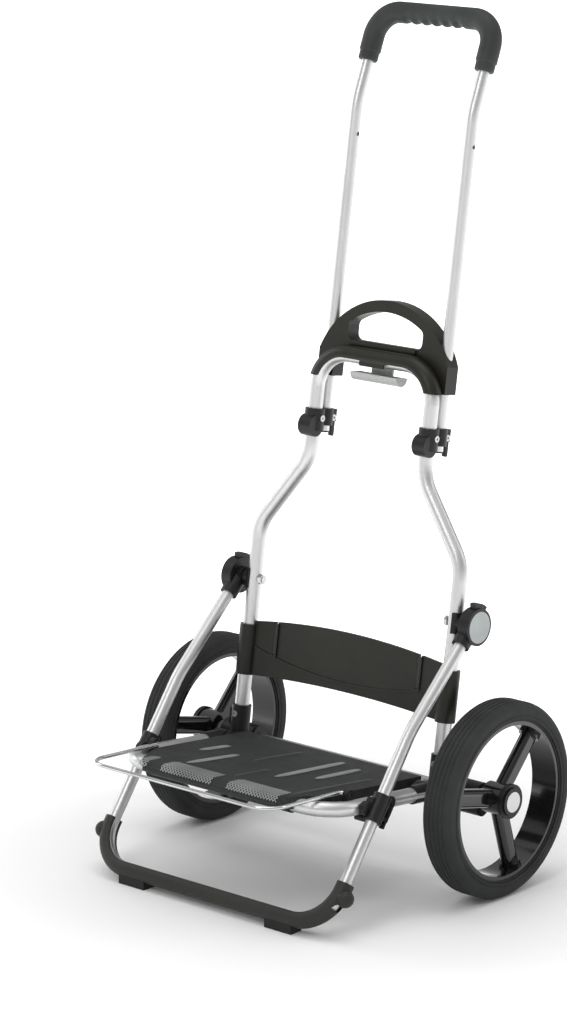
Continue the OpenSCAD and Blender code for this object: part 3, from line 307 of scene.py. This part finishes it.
def loft(rings, closed_ends=True):
    """Verts and faces of a tube through rings of points, all with the same count."""
    n = len(rings[0])
    verts = [p for ring in rings for p in ring]
    faces = []
    for i in range(len(rings) - 1):
        for j in range(n):
            k = (j + 1) % n
            faces.append((i * n + j, i * n + k, (i + 1) * n + k, (i + 1) * n + j))
    if closed_ends:
        faces.append(tuple(reversed(range(n))))
        last = (len(rings) - 1) * n
        faces.append(tuple(last + j for j in range(n)))
    return verts, faces


# ---------------------------------------------------------------- soft grip

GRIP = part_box("handle_grip")
GRIP_R = 0.014
CORNER_R = 0.034
GRIP_LEG = 0.032
HALF_GRIP = 0.094
SLANT = math.radians(22.1)
SLANT_UP = Vector((0, math.sin(SLANT), math.cos(SLANT)))
SLANT_BACK = Vector((0, math.cos(SLANT), -math.sin(SLANT)))
GRIP_SKIN = 0.0002
PATH_STEPS = 150
# Finger waves along the inside of the top run
WAVE_PITCH = 0.0165
WAVES = 6
WAVE_DEPTH = 0.0030
# Narrower band at each end, and its rounded lip
BAND_LONG = 0.012
BAND_STEP = 0.0012
LIP_LONG = 0.0015


def grip_centre():
    """Centre of the grip's top run, from the box of its CAD node."""
    return Vector((0, GRIP[1][1] - GRIP_R, GRIP[1][2] - GRIP_R))


def grip_path():
    """Places, inward directions and lengths down one leg, over the top and down the other."""
    centre = grip_centre()
    points = []
    arc = math.pi / 2 * CORNER_R
    straight = HALF_GRIP - CORNER_R
    total = GRIP_LEG + arc + straight
    for i in range(-PATH_STEPS, PATH_STEPS + 1):
        s = abs(i) / PATH_STEPS * total
        side = 1 if i >= 0 else -1
        if s <= straight:
            x, up, tangent = s, 0.0, (1, 0)
        elif s <= straight + arc:
            a = (s - straight) / CORNER_R
            x = straight + CORNER_R * math.sin(a)
            up = -CORNER_R * (1 - math.cos(a))
            tangent = (math.cos(a), -math.sin(a))
        else:
            x, up, tangent = HALF_GRIP, -CORNER_R - (s - straight - arc), (0, -1)
        place = centre + Vector((side * x, 0, 0)) + SLANT_UP * up
        inward = Vector((side * tangent[1], 0, 0)) - SLANT_UP * tangent[0]
        points.append((place, inward.normalized(), side * s, s, total))
    return points


def grip_ring(place, inward, radii, count=48):
    """A ring round the path: angle 0 is the inner (finger) side, 90 degrees the back."""
    ring = []
    for j in range(count):
        a = 2 * math.pi * j / count
        r = radii(a)
        ring.append(place + inward * (r * math.cos(a)) + SLANT_BACK * (r * math.sin(a)))
    return ring


def build_grip():
    rings = []
    reach = WAVES * WAVE_PITCH / 2
    for place, inward, s, length, total in grip_path():
        to_end = total - length
        wave = 0.0
        if abs(s) < reach:
            wave = WAVE_DEPTH * (0.5 - 0.5 * math.cos(2 * math.pi * (s + reach) / WAVE_PITCH))
        swell = -BAND_STEP if to_end < BAND_LONG else 0.0
        if to_end < LIP_LONG:
            swell -= BAND_STEP * (1 - to_end / LIP_LONG)

        def radii(a, wave=wave, swell=swell):
            inner = max(0.0, math.cos(a)) ** 1.5
            return GRIP_R - GRIP_SKIN + swell - wave * inner

        rings.append(grip_ring(place, inward, radii))
    verts, faces = loft(rings)
    obj = add_mesh("grip_soft", verts, faces, MATERIALS["soft_grip"], "handle")
    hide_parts("handle_grip")


build_grip()


# ---------------------------------------------------------------- deck detail

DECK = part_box("deck")
SLOPE = math.radians(5.4)
FORWARD = Vector((0, -math.cos(SLOPE), math.sin(SLOPE)))
DECK_UP = Vector((0, math.sin(SLOPE), math.cos(SLOPE)))
DECK_LONG = 0.234
NOSE_R = 0.0075


def deck_origin():
    """Rear edge of the deck's top, at the middle.

    The highest point lies at the nose, so the rear edge is one deck length behind it.
    """
    rear_z = DECK[1][2] - (DECK_LONG - NOSE_R) * math.sin(SLOPE) - NOSE_R * (1 - math.cos(SLOPE))
    return Vector((0, DECK[1][1], rear_z))


DECK_REAR = deck_origin()


def on_deck(x, s, h=0.0):
    """Point x across, s forward from the rear edge and h above the deck's top."""
    return DECK_REAR + Vector((x, 0, 0)) + FORWARD * s + DECK_UP * h


def ridge_rings(points, width, height):
    """A low rib with rounded ends along points on the deck's top."""
    rings = []
    count = len(points)
    for i, (x, s) in enumerate(points):
        before = points[max(0, i - 1)]
        after = points[min(count - 1, i + 1)]
        along = Vector((after[0] - before[0], after[1] - before[1]))
        along.normalize()
        across = Vector((-along.y, along.x))
        t = i / (count - 1)
        taper = math.sqrt(max(0.02, 1 - (2 * t - 1) ** 8))
        ring = []
        for a in range(9):
            angle = math.pi * a / 8
            off = math.cos(angle) * width / 2 * taper
            up = math.sin(angle) * height * taper
            ring.append(on_deck(x + across.x * off, s + across.y * off, up - 0.0003))
        rings.append(ring)
    return rings


def line(a, b, count=14):
    """Even points from a to b."""
    steps = [i / (count - 1) for i in range(count)]
    return [(a[0] + (b[0] - a[0]) * t, a[1] + (b[1] - a[1]) * t) for t in steps]


# Raised ridges: (x, s) at the front end and at the rear end
RIDGES = [((0.116, 0.214), (0.123, 0.064)), ((-0.030, 0.120), (-0.024, 0.030)),
          ((0.012, 0.200), (0.014, 0.135))]
RIDGE_W = 0.0060
RIDGE_H = 0.0015
# Woven streaks in the deck's top, front end and rear end: real thread texture, their light grey painted
# highlight
STREAKS = [((-0.068, 0.197), (-0.061, 0.112)), ((0.045, 0.159), (0.045, 0.030)),
           ((0.081, 0.124), (0.081, 0.042)), ((-0.106, 0.131), (-0.101, 0.085))]
STREAK_W = 0.0105
STREAK_PITCH = 0.0026
THREAD_HALF = 0.0004
THREAD_THICK = 0.0006


def merge(parts):
    """One list of verts and faces from several."""
    verts, faces = [], []
    for v, f in parts:
        base = len(verts)
        verts.extend(v)
        faces.extend(tuple(i + base for i in face) for face in f)
    return verts, faces


def build_ribs():
    verts, faces = merge([loft(ridge_rings(line(a, b), RIDGE_W, RIDGE_H)) for a, b in RIDGES])
    # the raised ribs are real, their grey is painted highlight
    add_mesh("deck_ribs", verts, faces, RIB_PAINTED_HIGHLIGHT, "platform")


def thread(a, b, low):
    """A flat thread on the deck's top from a to b, its underside "low" above the top."""
    side = (b - a).normalized()
    side = Vector((-side.y, side.x)) * THREAD_HALF
    high = low + THREAD_THICK
    return loft([[
        on_deck(end.x - side.x, end.y - side.y, low), on_deck(end.x + side.x, end.y + side.y, low),
        on_deck(end.x + side.x, end.y + side.y, high), on_deck(end.x - side.x, end.y - side.y, high),
    ] for end in (a, b)])


def woven_streak(front, rear):
    """Short slanting threads laid across a strip, in two directions."""
    along = Vector((rear[0] - front[0], rear[1] - front[1]))
    length = along.length
    along.normalize()
    across = Vector((-along.y, along.x))
    parts = []
    count = int(length / STREAK_PITCH)
    for i in range(count):
        t = (i + 0.5) / count
        reach = STREAK_W / 2 * math.sqrt(max(0.05, 1 - (2 * t - 1) ** 6))
        for lean, low in ((1, 0.0001), (-1, 0.0004)):
            middle = Vector(front) + along * (t * length)
            lean_by = along * (lean * STREAK_PITCH)
            parts.append(thread(middle - across * reach - lean_by, middle + across * reach + lean_by, low))
    return parts


def build_streaks():
    parts = []
    for front, rear in STREAKS:
        parts += woven_streak(front, rear)
    verts, faces = merge(parts)
    # the streak threads' light grey is painted highlight
    add_mesh("deck_streaks", verts, faces, MESH_PAINTED_HIGHLIGHT, "platform", smooth=False)


def nose_point(x, t, lift):
    """Point on the rounded nose: t is the arc length forward from the nose's start."""
    quarter = math.pi / 2 * NOSE_R
    start = DECK_LONG - NOSE_R
    if t <= 0:
        return on_deck(x, start + t, lift)
    if t <= quarter:
        a = t / NOSE_R
        r = NOSE_R + lift
        return on_deck(x, start + r * math.sin(a), -NOSE_R + r * math.cos(a))
    return on_deck(x, DECK_LONG + lift, -NOSE_R - (t - quarter))


def strand(x0, t0, x1, t1, lift, width=0.0009, thick=0.0007, count=14):
    """A flat strand of the front mesh, bent over the nose."""
    rings = []
    along = Vector((x1 - x0, t1 - t0)).normalized()
    across = Vector((-along.y, along.x)) * width / 2
    for i in range(count):
        f = i / (count - 1)
        x, t = x0 + (x1 - x0) * f, t0 + (t1 - t0) * f
        rings.append([
            nose_point(x - across.x, t - across.y, lift),
            nose_point(x + across.x, t + across.y, lift),
            nose_point(x + across.x, t + across.y, lift + thick),
            nose_point(x - across.x, t - across.y, lift + thick),
        ])
    return loft(rings)


SHORTEST = 0.08  # strands shorter than this share of a full one are left out


def lattice(x_low, x_high, t_low, t_high, pitch):
    """Two sets of slanting strands, clipped to the patch."""
    parts = []
    rise = t_high - t_low
    for direction in (1, -1):
        lift = 0.0 if direction > 0 else 0.0005
        start = x_low - rise
        while start < x_high + rise:
            dx = direction * rise
            f1, f2 = (x_low - start) / dx, (x_high - start) / dx
            low, high = max(0.0, min(f1, f2)), min(1.0, max(f1, f2))
            if high - low > SHORTEST:
                parts.append(strand(
                    start + dx * low, t_low + rise * low, start + dx * high, t_low + rise * high, lift))
            start += pitch
    return parts


# Left and right edges of the front mesh patches, and their rear and front ends along the nose; the
# strands' light grey is painted highlight of the curved nose
PATCHES = [(-0.117, -0.104), (-0.080, 0.004), (0.030, 0.112)]
PATCH_REAR = -0.020
PATCH_FRONT = 0.0115
PATCH_PITCH = 0.0048


def build_patches():
    parts = []
    for low, high in PATCHES:
        parts += lattice(low, high, PATCH_REAR, PATCH_FRONT, PATCH_PITCH)
    verts, faces = merge(parts)
    # the front mesh strands are real, their light grey is painted highlight
    add_mesh("deck_front_mesh", verts, faces, MESH_PAINTED_HIGHLIGHT, "platform", smooth=False)


build_ribs()
build_streaks()
build_patches()


# ---------------------------------------------------------------- floor and light

FLOOR_HALF = 12.0
FLOOR_DROP = 0.0002
GLOW_START = 0.25
GLOW_END = 1.4


def build_stage():
    mesh = bpy.data.meshes.new("floor")
    corners = [(x * FLOOR_HALF, y * FLOOR_HALF, 0) for x, y in ((-1, -1), (1, -1), (1, 1), (-1, 1))]
    mesh.from_pydata(corners, [], [(0, 1, 2, 3)])
    floor = bpy.data.objects.new("floor", mesh)
    bpy.context.scene.collection.objects.link(floor)
    floor.location.z = -FLOOR_DROP
    s = Shader("floor", 0.6, specular=0.2)
    # Away from the cart the floor glows into the white backdrop
    away = s.node("ShaderNodeVectorMath", operation="LENGTH")
    s.link(s.coords, away.inputs[0])
    glow = s.node("ShaderNodeMapRange", interpolation_type="SMOOTHSTEP")
    glow.inputs["From Min"].default_value = GLOW_START
    glow.inputs["From Max"].default_value = GLOW_END
    s.link(away.outputs["Value"], glow.inputs["Value"])
    s.bsdf.inputs["Emission Color"].default_value = (1, 1, 1, 1)
    s.link(glow.outputs["Result"], s.bsdf.inputs["Emission Strength"])
    mesh.materials.append(s.finish(
        s.ramp(s.noise(1.5, 2), (0.93, 0.93, 0.93), (0.95, 0.95, 0.95)),
        s.range(s.noise(3, 2), 0.55, 0.65),
    ))


def area_light(name, place, target, size, power):
    data = bpy.data.lights.new(name, "AREA")
    data.energy = power
    data.shape = "RECTANGLE"
    data.size, data.size_y = size
    light = bpy.data.objects.new(name, data)
    bpy.context.scene.collection.objects.link(light)
    light.location = place
    light.rotation_euler = (Vector(place) - Vector(target)).to_track_quat("Z", "Y").to_euler()


build_stage()
MIDDLE = (0, 0, 0.5)
area_light("key", (0.4, -3.2, 3.0), MIDDLE, (1.6, 1.6), 34)
area_light("fill", (-3.4, -0.6, 1.8), MIDDLE, (0.9, 2.2), 26)
area_light("rim", (2.6, 2.6, 2.4), MIDDLE, (1.0, 2.0), 18)
area_light("top", (0, 0, 4.2), MIDDLE, (2.6, 2.6), 34)

# Grey of the surroundings by height: 0 straight down, 1 straight up, with a darker band above the horizon
SKY_GREYS = ((0.0, 1.0), (0.52, 0.9), (0.60, 0.5), (0.72, 0.35), (0.9, 0.75), (1.0, 1.0))


def build_world():
    world = bpy.data.worlds.new("studio")
    world.use_nodes = True
    tree = world.node_tree
    sky = tree.nodes["Background"]
    sky.inputs["Strength"].default_value = 1.0
    direction = tree.nodes.new("ShaderNodeTexCoord")
    split = tree.nodes.new("ShaderNodeSeparateXYZ")
    bands = tree.nodes.new("ShaderNodeValToRGB")
    stops = bands.color_ramp.elements
    for position, grey in SKY_GREYS:
        stop = stops[0] if position == 0 else stops[-1] if position == 1 else stops.new(position)
        stop.color = (grey, grey, grey, 1)
    height = tree.nodes.new("ShaderNodeMapRange")
    height.inputs["From Min"].default_value = -1.0
    tree.links.new(direction.outputs["Generated"], split.inputs["Vector"])
    tree.links.new(split.outputs["Z"], height.inputs["Value"])
    tree.links.new(height.outputs["Result"], bands.inputs["Fac"])
    tree.links.new(bands.outputs["Color"], sky.inputs["Color"])
    bpy.context.scene.world = world


build_world()
bpy.context.scene.view_settings.view_transform = "Standard"
